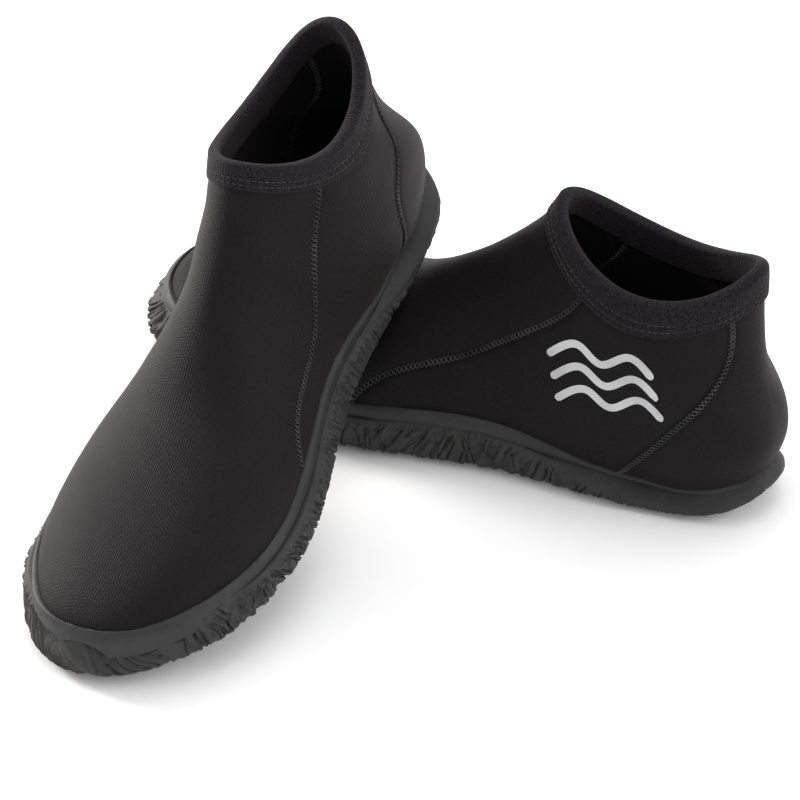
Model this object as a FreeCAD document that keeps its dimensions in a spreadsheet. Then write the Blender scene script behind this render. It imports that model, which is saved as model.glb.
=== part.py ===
"""A pair of low-cut neoprene water-sports boots, as a parametric FreeCAD document in millimetres.

The left boot stands flat on the floor, its toe towards +X and its outer side towards +Y. The origin is under its
sole, a hand's breadth in front of the heel. The right boot lies across it with its toe towards +Y: the toe is on
the floor and the sole rests on the left boot's forefoot, so that the heel is up.

Each boot is made in its own frame first: X from the back of the heel to the toe, Y to the outer side of a left
boot, Z up from the floor. The right boot is the left one with Y reversed.
"""

import os
from math import cos, pi, sin

import FreeCAD, Part
from FreeCAD import Placement, Rotation, Vector

doc = FreeCAD.newDocument("neoprene_boots")

# ---------------------------------------------------------------- driving dimensions

sheet = doc.addObject("Spreadsheet::Sheet", "sizes")

SIZES = (
    ("boot_length", 290),  # heel to toe on the floor
    ("neoprene", 3.5),  # foam with a knit face on both sides
    ("binding_thick", 0.8),
    ("binding_height", 13),
    ("rand_thick", 1.6),
    ("rand_show", 7),  # smooth band of the rand above the sole's ridged wall
    ("rand_foot", 11),  # lower edge of the rand above the underside, hidden in the sole
    ("insole_top", 12.5),  # above the underside of the sole
    ("thread_thick", 0.4),
    ("seam_width", 3),
    ("stitch_row_width", 1.2),
    ("first_stitch_row", 10),  # below the edge of the opening
    ("second_stitch_row", 7),
    ("print_thick", 0.25),
    ("bottom_inset", 14),  # edge of the bottom panel inside the outline of the sole
    ("toe_spring", 11),  # rise of the toe above the floor
    ("spring_start", 190),  # where the sole starts to rise
    ("collar_front", 122.5),
    ("collar_back", 115),
    ("collar_dip", 18),  # how far the sides of the opening lie below its ends
    ("tread_depth", 2),
    ("tread_width", 2.6),
    ("tread_pitch", 11),
    ("tool_half", 90),  # reach of the cutting tools to each side of the boot's middle
    ("left_x", -115.5),
    ("left_y", 0),
    ("right_x", 76),
    ("right_y", -40.4),
    ("right_z", 78.55),
    ("right_turn", 88.4),
    ("right_pitch", 17.7),
    ("right_roll", 7),
)

for row, (alias, value) in enumerate(SIZES, start=1):
    sheet.set(f"A{row}", alias)
    sheet.set(f"B{row}", str(value))
    sheet.setAlias(f"B{row}", alias)
doc.recompute()


def size(alias):
    """The value of a cell of the sheet."""
    return float(getattr(sheet, alias))


# ---------------------------------------------------------------- the foot form

# Rings round the foot, from the toe back to the heel and up to the collar. Each lies in a plane across the boot
# through its lowest point (x, z) and its highest point (x, z); outer and inner are its greatest Y each side,
# waist is how far up that is, and low and high are the squareness of its lower and upper half (2 is an ellipse).
#        lowest       highest        outer  inner  waist  low  high
RINGS = (
    ((281.0, 16.5), (280.5, 26.0), 12.5, -7.5, 0.50, 2.0, 2.0),
    ((277.5, 14.0), (277.5, 31.0), 21.5, -16.0, 0.46, 2.3, 2.2),
    ((270.0, 12.5), (271.0, 35.5), 29.5, -25.0, 0.42, 2.8, 2.3),
    ((256.0, 9.8), (257.5, 40.5), 38.0, -35.0, 0.38, 3.2, 2.3),
    ((238.0, 7.5), (241.0, 45.0), 45.0, -42.0, 0.36, 3.4, 2.3),
    ((216.0, 5.7), (221.0, 49.0), 49.0, -46.5, 0.34, 3.5, 2.2),
    ((193.0, 5.0), (201.0, 53.0), 49.5, -46.5, 0.32, 3.5, 2.1),
    ((168.0, 5.0), (182.0, 58.0), 47.5, -43.0, 0.30, 3.4, 2.0),
    ((141.0, 5.0), (165.5, 66.5), 42.5, -37.0, 0.29, 3.2, 1.9),
    ((111.0, 5.0), (151.0, 76.0), 37.0, -31.0, 0.29, 3.0, 1.9),
    ((79.0, 5.0), (138.5, 85.5), 33.5, -28.5, 0.30, 2.9, 1.9),
    ((47.0, 5.5), (126.5, 96.0), 32.5, -28.5, 0.33, 2.7, 2.0),
    ((20.0, 9.0), (117.0, 105.5), 32.0, -29.0, 0.38, 2.4, 2.0),
    ((7.5, 24.0), (111.5, 112.0), 32.0, -30.0, 0.44, 2.2, 2.0),
    ((5.0, 46.0), (107.5, 118.0), 31.5, -30.5, 0.48, 2.1, 2.0),
    ((8.5, 76.0), (104.3, 125.0), 30.0, -30.0, 0.50, 2.0, 2.0),
    ((15.0, 112.0), (101.5, 134.0), 27.5, -27.5, 0.50, 2.0, 2.0),
    ((17.5, 138.0), (98.0, 150.0), 26.5, -26.5, 0.50, 2.0, 2.0),
)
RING_POINTS = 24
TOE_GROWTH = 0.9  # share of an offset by which the first ring moves forward

# Outline of the sole on the floor, from the back of the heel round the outer side to the toe and back.
OUTLINE = (
    (0, 0),
    (7, 19),
    (30, 31.5),
    (70, 36),
    (110, 37),
    (150, 45.5),
    (185, 53),
    (215, 52.5),
    (245, 46.5),
    (268, 36),
    (279, 26.5),
    (286.5, 16),
    (290, 5),
    (287.5, -7),
    (280, -18.5),
    (268, -29.5),
    (245, -44),
    (215, -50),
    (185, -49.5),
    (150, -40.5),
    (110, -31.5),
    (70, -30.5),
    (30, -29),
    (7, -17),
)


def ring_points(ring, grow, side, forward):
    """Points round a ring that is grown by an offset in its own plane; the last is the first again."""
    (x0, z0), (x1, z1), outer, inner, waist, low, high = ring
    height = ((x1 - x0) ** 2 + (z1 - z0) ** 2) ** 0.5
    ux, uz = (x1 - x0) / height, (z1 - z0) / height
    middle, half = (outer + inner) / 2, (outer - inner) / 2 + grow
    points = []
    for i in range(RING_POINTS + 1):
        angle = 2 * pi * (i % RING_POINTS) / RING_POINTS
        c, s = -cos(angle), sin(angle)
        power = 2 / (low if c < 0 else high)
        share = waist if c < 0 else 1 - waist
        up = waist * height + (1 if c > 0 else -1) * abs(c) ** power * (share * height + grow)
        across = middle + (1 if s > 0 else -1) * abs(s) ** power * half
        points.append(Vector(x0 + ux * up + forward, side * across, z0 + uz * up))
    return points


def solid_through(label, rows):
    """A solid with a smooth skin through closed rows of points; its first and last rows are flat ends."""
    surface = Part.BSplineSurface()
    surface.interpolate(rows)
    first, last, start, end = surface.bounds()
    middle = (start + end) / 2
    halves = [surface.toShape(first, last, start, middle), surface.toShape(first, last, middle, end)]
    caps = []
    for row in (first, last):
        arcs = [surface.uIso(row).toShape(start, middle), surface.uIso(row).toShape(middle, end)]
        caps.append(Part.Face(Part.Wire(arcs)))
    shell = Part.Shell(halves + caps)
    shell.sewShape()
    made = doc.addObject("Part::Feature", label)
    made.Shape = Part.Solid(shell)
    return made


def foot_form(label, grow, side):
    """The solid inside the upper's outer face, grown by an offset; it runs on past the collar."""
    rows = []
    for number, ring in enumerate(RINGS):
        rows.append(ring_points(ring, grow, side, TOE_GROWTH * grow if number == 0 else 0))
    return solid_through(label, rows)


# Rows up the wall of the sole: height above its underside, inset from the outline, further inset at the toe's
# tip, and the share of the toe's rise that the row takes up. The underside's edge is rounded and the toe leans
# back. The rows below 0 and above 27 lead to flat ends and are cut off afterwards.
WALL_ROWS = (
    (-9.0, 11.0, 3.5, 0.0),
    (-6.0, 9.0, 3.0, 0.33),
    (-3.0, 7.0, 2.5, 0.67),
    (0.0, 5.0, 2.0, 1.0),
    (2.5, 1.8, 1.0, 1.0),
    (8.0, 0.0, 0.5, 1.0),
    (14.0, 0.2, 4.5, 1.0),
    (20.0, 0.8, 9.5, 1.0),
    (27.0, 1.5, 15.0, 1.0),
    (34.0, 1.8, 18.0, 0.8),
    (41.0, 2.0, 19.0, 0.5),
    (48.0, 2.0, 19.0, 0.2),
    (55.0, 2.0, 19.0, 0.0),
)


def rise(x):
    """Height of the sole's underside above the floor."""
    past = max(0.0, x - size("spring_start"))
    return size("toe_spring") * (past / (size("boot_length") - size("spring_start"))) ** 2


def outline_row(side, height, inset, toe_inset=0.0, rise_share=0.0):
    """Closed row of points on the outline taken in by an inset; the last point is the first again."""
    row = []
    for i, (x, y) in enumerate(OUTLINE):
        (xa, ya), (xb, yb) = OUTLINE[i - 1], OUTLINE[(i + 1) % len(OUTLINE)]
        dx, dy = xb - xa, yb - ya
        move = (inset + toe_inset * max(0.0, (x - 215) / 75) ** 3) / (dx * dx + dy * dy) ** 0.5
        row.append(Vector(x + dy * move, side * (y - dx * move), height + rise_share * rise(x)))
    return row + [row[0]]


def sole_block(label, side):
    """The sole's outer form, from below the floor to above its rim."""
    return solid_through(label, [outline_row(side, *row) for row in WALL_ROWS])


# ---------------------------------------------------------------- side-view tools

BEHIND, AHEAD, UNDER, OVER = -60, 360, -60, 210  # reach of the tools round the boot, in X and Z

RIM = ((BEHIND, 30), (0, 30), (12, 24), (40, 16), (70, 17.5), (110, 26.5), (150, 25.5), (200, 23))
RIM_AHEAD = ((230, 26.5), (250, 30), (270, 33), (290, 34), (AHEAD, 34))
OUTER_VAMP_SEAM = ((76, 130), (79, 112), (86, 90.5), (107, 70), (135, 50.5), (158, 40.5), (172, 30), (180, 8))
INNER_VAMP_SEAM = ((76, 130), (79, 112), (86, 90.5), (103, 68), (118, 46), (140, 39), (160, 34.5), (172, 24), (178, 8))
OUTER_HEEL_SEAM = ((24, 130), (21, 96), (20.5, 77), (24, 64), (32, 52), (43.5, 36), (55.5, 20), (66, 4))
INNER_HEEL_SEAM = ((24, 130), (23, 97), (28, 79), (38, 60), (45.5, 45), (46.5, 30), (47, 16), (49, 4))


def spline(points):
    """A smooth curve through points of the side view."""
    curve = Part.BSplineCurve()
    curve.interpolate([Vector(x, z, 0) for x, z in points])
    return curve


def line(start, end):
    return Part.LineSegment(Vector(*start, 0), Vector(*end, 0))


def closed_by(curves, *corners):
    """The curves, and straight lines from their end through the corners back to their start."""
    first, last = curves[0].StartPoint, curves[-1].EndPoint
    stops = [(last.x, last.y), *corners, (first.x, first.y)]
    return list(curves) + [line(a, b) for a, b in zip(stops, stops[1:])]


def side_tool(label, loops, half=0):
    """A solid drawn in side view and padded across the boot: to both sides, or to the +Y or -Y half only."""
    body = doc.addObject("PartDesign::Body", label)
    sketch = body.newObject("Sketcher::SketchObject", label + "_sketch")
    sketch.AttachmentSupport = (next(f for f in body.Origin.OriginFeatures if f.Role == "XZ_Plane"), "")
    sketch.MapMode = "FlatFace"
    for loop in loops:
        for curve in loop:
            sketch.addGeometry(curve)
    pad = body.newObject("PartDesign::Pad", label + "_pad")
    pad.Profile = sketch
    pad.Midplane = half == 0
    pad.Reversed = half > 0
    pad.setExpression("Length", "sizes.tool_half" if half else "2 * sizes.tool_half")
    return body


def collar_curve(drop=0.0):
    """Edge of the opening in side view: highest at the front and the back, with a dip between."""
    points = []
    for x in range(-20, 141, 20):
        share = (x - 15) / 87
        straight = size("collar_back") + (size("collar_front") - size("collar_back")) * share
        points.append((x, straight - 4 * size("collar_dip") * share * (1 - share) - drop))
    return spline(points)


def below_collar(label, drop=0.0):
    curve = collar_curve(drop)
    tops = ((AHEAD, curve.EndPoint.y), (AHEAD, UNDER), (curve.StartPoint.x, UNDER))
    return side_tool(label, [closed_by([curve], *tops)])


def floor_curves(lift=0.0):
    """Underside of the sole in side view, level and then rising to the toe."""
    start = size("spring_start")
    bend = Part.BSplineCurve()
    stations = [start, start + 30, start + 60, start + 90, start + 120]
    slope = 240 * size("toe_spring") / (size("boot_length") - start) ** 2
    bend.interpolate(
        Points=[Vector(x, lift + rise(x), 0) for x in stations],
        InitialTangent=Vector(1, 0, 0),
        FinalTangent=Vector(1, slope, 0),
    )
    return [line((BEHIND, lift), (start, lift)), bend]


def above_floor(label, lift=0.0):
    curves = floor_curves(lift)
    return side_tool(label, [closed_by(curves, (curves[-1].EndPoint.x, OVER), (BEHIND, OVER))])


def below_rim(label, drop=0.0):
    points = [(x, z - drop) for x, z in RIM + RIM_AHEAD]
    return side_tool(label, [closed_by([spline(points)], (AHEAD, UNDER), (BEHIND, UNDER))])


def band_along(points, width):
    """A closed band of even width along a seam of the side view."""
    one, other = [], []
    for i, (x, z) in enumerate(points):
        (xa, za), (xb, zb) = points[max(i - 1, 0)], points[min(i + 1, len(points) - 1)]
        half = width / 2 / ((xb - xa) ** 2 + (zb - za) ** 2) ** 0.5
        one.append((x - (zb - za) * half, z + (xb - xa) * half))
        other.append((x + (zb - za) * half, z - (xb - xa) * half))
    back = spline(other[::-1])
    return closed_by([spline(one), line(one[-1], other[-1]), back])


# ---------------------------------------------------------------- booleans


def cut(label, base, *tools):
    """What is left of a shape once the tools are taken away, one after another."""
    for number, tool in enumerate(tools, start=1):
        made = doc.addObject("Part::Cut", label if number == len(tools) else f"{label}_less_{number}")
        made.Base, made.Tool, made.Refine = base, tool, False
        base = made
    return base


def common(label, base, *tools):
    """What a shape and all the tools have in common."""
    for number, tool in enumerate(tools, start=1):
        made = doc.addObject("Part::Common", label if number == len(tools) else f"{label}_in_{number}")
        made.Base, made.Tool, made.Refine = base, tool, False
        base = made
    return base


# ---------------------------------------------------------------- tools that both boots share

under_collar = below_collar("under_collar")
under_binding = below_collar("under_binding", size("binding_height"))
under_binding_top = below_collar("under_binding_top", -size("binding_thick"))
under_rim = below_rim("under_rim")
under_wall_top = below_rim("under_wall_top", size("rand_show"))
over_floor = above_floor("over_floor")
over_rand_foot = above_floor("over_rand_foot", size("rand_foot"))
over_insole = above_floor("over_insole", size("insole_top"))

half_tools = {}
for half, name in ((1, "plus"), (-1, "minus")):
    block = [line((BEHIND, UNDER), (AHEAD, UNDER)), line((AHEAD, UNDER), (AHEAD, OVER))]
    half_tools["all", half] = side_tool(f"{name}_y_half", [closed_by(block, (BEHIND, OVER))], half)
    for place, vamp_seam, heel_seam in (
        ("outer", OUTER_VAMP_SEAM, OUTER_HEEL_SEAM),
        ("inner", INNER_VAMP_SEAM, INNER_HEEL_SEAM),
    ):
        ahead = closed_by([spline(vamp_seam)], (190, UNDER), (AHEAD, UNDER), (AHEAD, 130))
        behind = closed_by([spline(heel_seam)], (60, UNDER), (BEHIND, UNDER), (BEHIND, 130))
        half_tools[place + "_vamp", half] = side_tool(f"{name}_y_{place}_vamp", [ahead], half)
        half_tools[place + "_heel", half] = side_tool(f"{name}_y_{place}_heel", [behind], half)
        for seam_name, seam in (("vamp_seam", vamp_seam), ("heel_seam", heel_seam)):
            loop = band_along(seam, size("seam_width"))
            half_tools[f"{place}_{seam_name}", half] = side_tool(f"{name}_y_{place}_{seam_name}", [loop], half)

stitch_rows = []
for number, alias in enumerate(("first_stitch_row", "second_stitch_row"), start=1):
    upper_edge = collar_curve(size(alias) - size("stitch_row_width") / 2)
    lower_edge = collar_curve(size(alias) + size("stitch_row_width") / 2)
    lower_edge.reverse()
    ends = line((upper_edge.EndPoint.x, upper_edge.EndPoint.y), (lower_edge.StartPoint.x, lower_edge.StartPoint.y))
    stitch_rows.append(side_tool(f"stitch_row_{number}", [closed_by([upper_edge, ends, lower_edge])]))

# Three printed waves, one above another, sloping with the quarter.
WAVE = ((-24, -3), (-13, 4), (-2, -2), (9, 4.5), (21, -1.5))
WAVE_CENTRE, WAVE_SPACING, WAVE_HEIGHT, WAVE_SLOPE = (70, 60), 9.5, 3.4, -0.12
wave_loops = []
for number in (-1, 0, 1):
    centre = [(WAVE_CENTRE[0] + x + 3 * number, WAVE_CENTRE[1] + z + WAVE_SLOPE * x + WAVE_SPACING * number) for x, z in WAVE]
    wave_loops.append(band_along(centre, WAVE_HEIGHT))
wave_tool = side_tool("wave_tool", wave_loops)

groove_loops = []
groove = 22.0
while groove < 262:
    half, top = size("tread_width") / 2, rise(groove) + size("tread_depth")
    corners = ((groove + half, top), (groove - half, top))
    groove_loops.append(closed_by([line((groove - half, -5), (groove + half, -5))], *corners))
    groove += size("tread_pitch")
tread_tool = side_tool("tread_tool", groove_loops)


# ---------------------------------------------------------------- a boot

PLACEMENTS = {
    "left": "placement(vector(sizes.left_x; sizes.left_y; 0); rotation(0; 0; 0))",
    "right": "placement(vector(sizes.right_x; sizes.right_y; sizes.right_z); "
    "rotation(sizes.right_turn; sizes.right_pitch; sizes.right_roll))",
}


def make_boot(name, side):
    """All the pieces of one boot. Its outer side is towards +Y for a left boot (side 1)."""
    outward, inward = side, -side
    face = foot_form(f"{name}_face", 0, side)
    lining = foot_form(f"{name}_lining", -size("neoprene"), side)
    rand_face = foot_form(f"{name}_rand_face", size("rand_thick"), side)
    binding_face = foot_form(f"{name}_binding_face", size("binding_thick"), side)
    binding_back = foot_form(f"{name}_binding_back", -size("neoprene") - size("binding_thick"), side)
    thread_face = foot_form(f"{name}_thread_face", size("thread_thick"), side)
    row_face = foot_form(f"{name}_row_face", size("binding_thick") + size("thread_thick"), side)
    print_face = foot_form(f"{name}_print_face", size("print_thick"), side)
    block = sole_block(f"{name}_sole_block", side)

    board_row = outline_row(side, -16, size("bottom_inset"))
    board_edge = Part.BSplineCurve()
    board_edge.interpolate(Points=board_row[:-1], PeriodicFlag=True)
    board_tool = doc.addObject("Part::Feature", f"{name}_board_tool")
    board_tool.Shape = Part.Face(Part.Wire(board_edge.toShape())).extrude(Vector(0, 0, 40))

    pieces = {}
    closed = common(f"{name}_closed", face, under_collar)
    rest = cut(f"{name}_rest", closed, lining)
    uppers = cut(f"{name}_uppers", rest, board_tool)
    pieces["bottom_panel"] = common(f"{name}_bottom_panel", rest, board_tool)
    outer_vamp, inner_vamp = half_tools["outer_vamp", outward], half_tools["inner_vamp", inward]
    outer_heel, inner_heel = half_tools["outer_heel", outward], half_tools["inner_heel", inward]
    vamp_zone = doc.addObject("Part::Fuse", f"{name}_vamp_zone")
    vamp_zone.Base, vamp_zone.Tool, vamp_zone.Refine = outer_vamp, inner_vamp, False
    heel_zone = doc.addObject("Part::Fuse", f"{name}_heel_zone")
    heel_zone.Base, heel_zone.Tool, heel_zone.Refine = outer_heel, inner_heel, False
    pieces["vamp_panel"] = common(f"{name}_vamp_panel", uppers, vamp_zone)
    pieces["heel_panel"] = common(f"{name}_heel_panel", uppers, heel_zone)
    sides = cut(f"{name}_sides", uppers, vamp_zone, heel_zone)
    pieces["outer_quarter"] = common(f"{name}_outer_quarter", sides, half_tools["all", outward])
    pieces["inner_quarter"] = common(f"{name}_inner_quarter", sides, half_tools["all", inward])

    hem = common(f"{name}_hem", binding_face, under_binding_top)
    hem = cut(f"{name}_hem_band", hem, under_binding, binding_back)
    pieces["collar_binding"] = cut(f"{name}_collar_binding", hem, rest)

    rand = common(f"{name}_rand_zone", rand_face, under_rim, over_rand_foot)
    pieces["rand"] = cut(f"{name}_rand", rand, face)
    sole = common(f"{name}_sole_zone", block, over_floor, under_wall_top)
    pieces["outsole"] = cut(f"{name}_outsole", sole, face, pieces["rand"], tread_tool)
    pieces["insole"] = cut(f"{name}_insole", lining, over_insole)

    for place, half in (("outer", outward), ("inner", inward)):
        for seam in ("vamp_seam", "heel_seam"):
            zone = common(f"{name}_{place}_{seam}_zone", thread_face, half_tools[f"{place}_{seam}", half], under_binding)
            pieces[f"{place}_{seam}"] = cut(f"{name}_{place}_{seam}", zone, under_rim, face)
    for number, row_tool in enumerate(stitch_rows, start=1):
        zone = common(f"{name}_row_{number}_zone", row_face, row_tool)
        pieces[f"collar_stitch_{number}"] = cut(f"{name}_collar_stitch_{number}", zone, binding_face)
    zone = common(f"{name}_print_zone", print_face, wave_tool, half_tools["all", outward])
    pieces["printed_waves"] = cut(f"{name}_printed_waves", zone, face)
    return pieces


exports = {}
for boot, side in (("left", 1), ("right", -1)):
    for piece, made in make_boot(boot, side).items():
        exports[f"{boot}_{piece}"] = made

doc.recompute()

os.makedirs("parts", exist_ok=True)
for node, source in exports.items():
    placed = doc.addObject("Part::Compound", node + "_placed")
    placed.Links = [source]
    placed.Label = node
    source.Label = node + "_made"
    placed.setExpression("Placement", PLACEMENTS[node.split("_")[0]])
doc.recompute()

for thing in doc.Objects:
    if "Invalid" in thing.State or "Error" in thing.State:
        raise RuntimeError(f"{thing.Label} did not compute: {thing.State}")
for node in exports:
    shape = doc.getObject(node + "_placed").Shape
    if shape.isNull() or not shape.isValid() or not shape.Solids:
        raise RuntimeError(f"{node} has no valid solid")
    shape.exportStep(f"parts/{node}.step")
    print(node, len(shape.Solids), "solids", round(shape.Volume / 1000, 2), "cm3")
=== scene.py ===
"""The looks of a pair of neoprene boots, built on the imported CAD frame.

The left boot stands flat; the right boot leans on it with its toe on the floor. Both are made from one
foot form: rings round the foot, joined by a spline. Sizes are in millimetres in a boot's own frame (X from
heel to toe, Y to the outer side, Z up from the floor) until place() takes them to the row frame, in metres.
"""

from math import cos, pi, radians, sin

import bpy
import numpy as np
from mathutils import Matrix, Vector


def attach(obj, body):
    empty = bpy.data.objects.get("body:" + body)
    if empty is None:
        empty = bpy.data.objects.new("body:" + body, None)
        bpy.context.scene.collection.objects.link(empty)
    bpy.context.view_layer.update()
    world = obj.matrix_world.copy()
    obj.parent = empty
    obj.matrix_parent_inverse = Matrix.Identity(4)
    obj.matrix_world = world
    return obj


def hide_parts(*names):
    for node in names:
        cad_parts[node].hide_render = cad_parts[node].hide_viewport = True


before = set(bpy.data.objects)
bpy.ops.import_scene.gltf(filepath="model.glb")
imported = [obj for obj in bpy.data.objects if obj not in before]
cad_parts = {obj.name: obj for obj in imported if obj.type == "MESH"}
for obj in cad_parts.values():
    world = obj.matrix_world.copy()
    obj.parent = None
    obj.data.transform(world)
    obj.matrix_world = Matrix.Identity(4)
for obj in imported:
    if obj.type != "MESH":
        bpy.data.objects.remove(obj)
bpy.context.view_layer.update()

# ------------------------------------------------------------------ sizes
#
# The form, the outline, the rim, the rise of the sole and the binding were fitted to the picture more
# closely than in the CAD. They differ from it by some millimetres, under the heel by as much as 11 mm.

METRES = 0.001
CLOTH_UNIT = 100  # millimetres of cloth to one unit of UV

NEOPRENE = 3.5
BINDING_HEIGHT = 14.3
BINDING_THICK = 1.15
BINDING_CROWN, BINDING_OVER = 1.0, 0.9  # where the fold starts below the collar's edge, and its rise above
BINDING_PUFF = 0.22
STITCH_ROWS = (11.4, 8.2)
ROW_GROOVE, ROW_GROOVE_HALF = 0.33, 0.55
ROW_PITCH, ROW_HALF, ROW_THREAD = 2.6, 0.95, 0.19
SEAM_HALF, SEAM_PITCH, SEAM_SLANT, SEAM_THREAD = 1.45, 2.0, 1.7, 0.27
SEAM_TUCK = 1.0  # how far the seams go up under the binding, and down under the rand
INSOLE_TOP = 12.5
TREAD_PITCH, TREAD_WIDTH, TREAD_DEPTH, FIRST_GROOVE, LAST_GROOVE = 11.0, 2.6, 2.0, 22.0, 262.0
TREAD_ROUND = 0.3

# The cloth: its least height above the underside, and how far it goes up inside the binding.
CLOTH_FLOOR, CLOTH_OVER_EDGE = 8.0, 0.2
# Depth and half width of the dips along each seam and under the binding; height, size and seed of bumps.
SEAM_DIPS = ((0.85, 1.7), (0.35, 6.0))
BINDING_DIP, BINDING_DIP_HALF = 0.45, 3.5
CLOTH_BUMPS = ((0.35, 28, 1), (0.14, 10, 2))

RAND_THICK = 1.6
RAND_SHOW = 7.0
RAND_TUCK, RAND_FLOOR = 4.5, 7.0  # how far it goes on under the sole's top, and its least height
RAND_EDGE, RAND_ROUND = 0.15, 1.1  # its thickness at the rim, and how soon it rounds out to the full
RAND_BULGE, RAND_BULGE_DOWN, RAND_BULGE_HALF = 0.45, 3.2, 2.2
RAND_THIN, RAND_THIN_ZONE = 0.5, (5.0, 7.5)  # how much it thins, between two drops below the rim

# The underside's rise at the toe and at the heel, and the lengths that they take.
TOE_RISE, TOE_RISE_FROM, TOE_RISE_OVER = 11.0, 190, 100
HEEL_RISE, HEEL_RISE_OVER = 11.0, 32

# The collar's edge in the side view: where its back is, its length and height there, how much higher the
# front is, and how deep it dips between them.
COLLAR_BACK, COLLAR_LENGTH, COLLAR_HEIGHT, COLLAR_CLIMB, COLLAR_DIP = 15, 87, 115, 7.5, 18

# lowest (x, z), highest (x, z), outer y, inner y, waist, squareness of the lower and of the upper half
RINGS = (
    ((281.0, 16.5), (280.5, 28.0), 12.5, -7.5, 0.50, 2.0, 2.0),
    ((277.5, 14.0), (277.5, 33.5), 21.5, -16.0, 0.46, 2.3, 2.2),
    ((270.0, 12.5), (271.0, 38.0), 29.5, -25.0, 0.42, 2.8, 2.3),
    ((256.0, 9.8), (257.5, 42.5), 38.0, -35.0, 0.38, 3.2, 2.3),
    ((238.0, 7.5), (241.0, 46.0), 45.0, -42.0, 0.36, 3.4, 2.3),
    ((216.0, 5.7), (221.0, 49.0), 49.0, -46.5, 0.34, 3.5, 2.2),
    ((193.0, 5.0), (201.0, 53.0), 49.5, -46.5, 0.32, 3.5, 2.1),
    ((168.0, 5.0), (182.0, 58.0), 47.5, -43.0, 0.30, 3.4, 2.0),
    ((141.0, 5.0), (165.5, 66.5), 42.5, -37.0, 0.29, 3.2, 1.9),
    ((111.0, 5.0), (151.0, 76.0), 37.0, -31.0, 0.29, 3.0, 1.9),
    ((79.0, 5.0), (138.5, 85.5), 33.5, -28.5, 0.30, 2.9, 1.9),
    ((47.0, 5.5), (126.5, 96.0), 33.0, -29.0, 0.33, 2.8, 2.0),
    ((17.0, 9.0), (117.0, 105.5), 32.0, -29.0, 0.37, 2.8, 2.0),
    ((2.0, 25.0), (111.5, 112.0), 31.0, -29.0, 0.42, 2.6, 2.0),
    ((0.8, 39.0), (107.5, 118.0), 29.6, -28.6, 0.45, 2.5, 2.0),
    ((9.3, 64.0), (104.3, 125.0), 26.0, -26.0, 0.51, 2.0, 2.0),
    ((14.0, 112.0), (101.5, 134.0), 25.0, -25.0, 0.50, 2.0, 2.0),
    ((17.5, 138.0), (98.0, 150.0), 24.0, -24.0, 0.50, 2.0, 2.0),
)
TIP_GROWTH = 0.9  # how far the first ring, which is almost a point, moves ahead as the form grows
# the sole's outline from above, as (x, y)
OUTLINE = (
    (-0.5, 0), (1.3, 9.5), (5.5, 17.5), (12.5, 23.8), (28, 29.5), (70, 35), (110, 37), (150, 45.5),
    (185, 53), (215, 53.5), (245, 49),
    (267, 39.5), (278, 29.5), (284.5, 18.5), (287, 6), (284, -8), (276, -20), (264.5, -30.5), (243, -43),
    (215, -50), (185, -49.5), (150, -40.5), (110, -31.5), (70, -29.5), (28, -27.3), (12.5, -22.3),
    (5.5, -15.5), (1.3, -8.3),
)  # fmt: skip
# the wall of the sole: height above the underside, inset from the outline, and what the toe adds to it
WALL = (
    (0.0, 5.0, 2.0), (2.5, 1.8, 1.0), (8.0, 0.0, 0.5),
    (14.0, 0.2, 4.5), (20.0, 0.8, 9.5), (27.0, 1.5, 15.0),
)  # fmt: skip
# the rubber's rim in the side view, as (x, z)
RIM = (
    (-60, 28), (-10, 26.5), (-2, 24.5), (5, 20.5), (15, 16.5), (34, 12.5), (60, 13), (86, 20),
    (112, 25.5), (150, 25.5), (200, 23), (230, 26.5), (250, 30), (270, 33), (290, 34), (360, 34),
)  # fmt: skip
# the seams in the side view, as (x, z)
SEAMS = {
    ("outer", "vamp"): (
        (76, 130), (79, 112), (86, 90.5), (107, 70), (135, 50.5), (158, 40.5), (172, 30), (180, 8),
    ),
    ("inner", "vamp"): (
        (76, 130), (79, 112), (86, 90.5), (103, 68), (118, 46), (140, 39), (160, 34.5), (172, 24), (178, 8),
    ),
    ("outer", "heel"): (
        (24, 130), (21, 96), (20.5, 77), (24, 64), (32, 52), (43.5, 36), (55.5, 20), (66, 4),
    ),
    ("inner", "heel"): (
        (24, 130), (23, 97), (28, 79), (38, 60), (45.5, 45), (46.5, 30), (47, 16), (49, 4),
    ),
}  # fmt: skip
# one printed wave about its own centre, and how the three of them are set out
WAVE = ((-24, -3), (-13, 4), (-2, -2), (9, 4.5), (21, -1.5))
WAVE_CENTRE, WAVE_SPACING, WAVE_SHIFT, WAVE_HEIGHT, WAVE_SLOPE = (70, 60), 9.5, 3, 3.4, -0.12
WAVE_REACH = (45, 35)  # how far from the centre the waves' outline is looked for
INK_THICK, INK_SINK = 0.16, 0.05

# Where each boot stands: its heel point in the row frame, then its turn, pitch and roll in degrees.
STANCE = {
    "left": ((-115.5, 0.0, 0.0), (0.0, 0.0, 0.0)),
    "right": ((76.0, -40.4, 78.55), (88.4, 17.7, 7.0)),
}


# ------------------------------------------------------------------ curves and noise


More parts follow.
